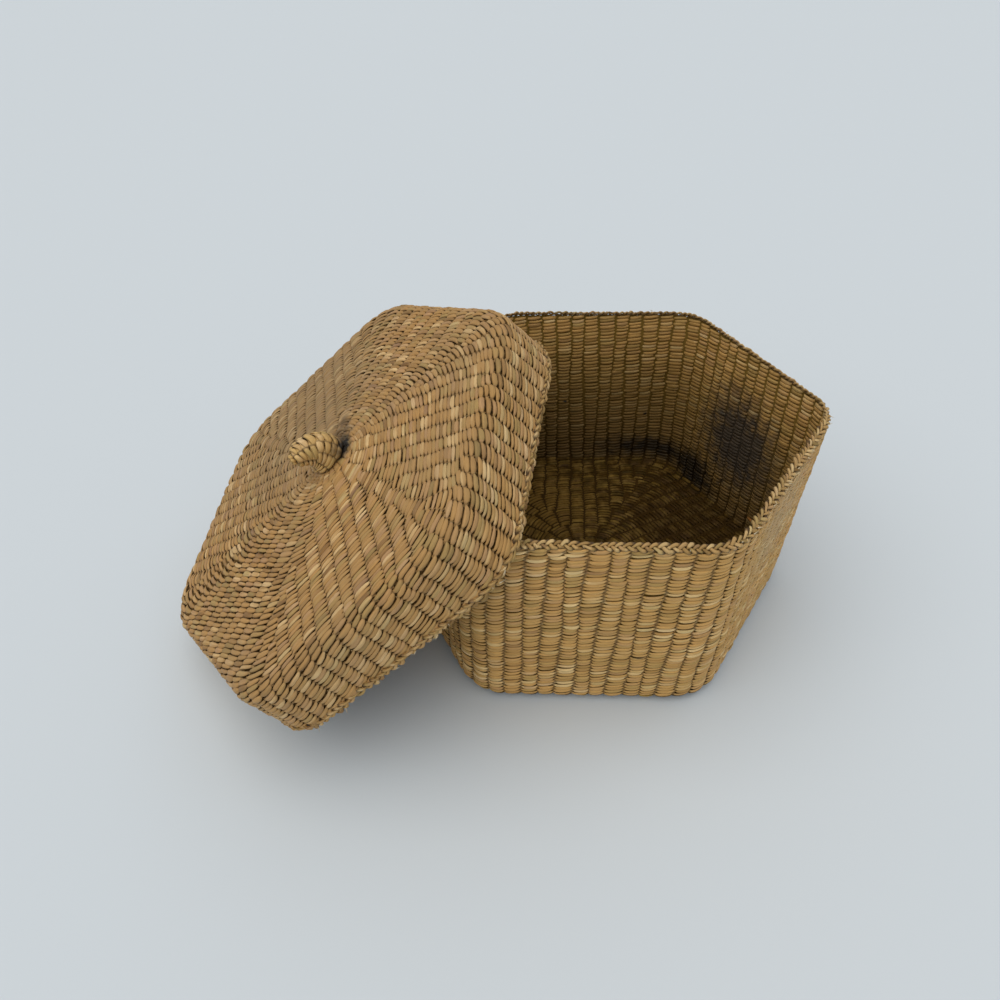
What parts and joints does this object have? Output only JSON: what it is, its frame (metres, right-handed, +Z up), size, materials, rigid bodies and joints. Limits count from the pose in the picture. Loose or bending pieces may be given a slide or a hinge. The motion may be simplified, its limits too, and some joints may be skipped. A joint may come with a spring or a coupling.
{
  "type": "lidded woven basket",
  "caption": "Six-sided basket of twined seagrass with a plaited rim; its shallow domed lid with a small woven knob is off and leans on one side",
  "frame": {"origin": "middle of the basket's underside, on the table it stands on", "axes": "+Z up, +X towards the basket's right-hand corner away from the leaning lid, +Y towards the back"},
  "size_m": [0.288, 0.2202, 0.1424],
  "materials": {
    "woven_wall": "dry twined seagrass, low sheen",
    "stakes": "dry twined seagrass, low sheen",
    "rim_plait": "dry twined seagrass, low sheen",
    "woven_lid": "dry twined seagrass, low sheen",
    "woven_knob": "dry twined seagrass, low sheen"
  },
  "bodies": {
    "basket": {"basket_weave": "woven_wall", "basket_stakes": "stakes", "basket_rim_plait": "rim_plait"},
    "lid": {"lid_weave": "woven_lid", "lid_stakes": "stakes", "lid_rim_plait": "rim_plait", "lid_knob": "woven_knob"}
  },
  "joints": [
    {"name": "lid_lift", "type": "slide", "parent": "basket", "child": "lid", "axis": [-0.5685, -0.1793, 0.8029], "range_m": [0, 0.16]}
  ]
}
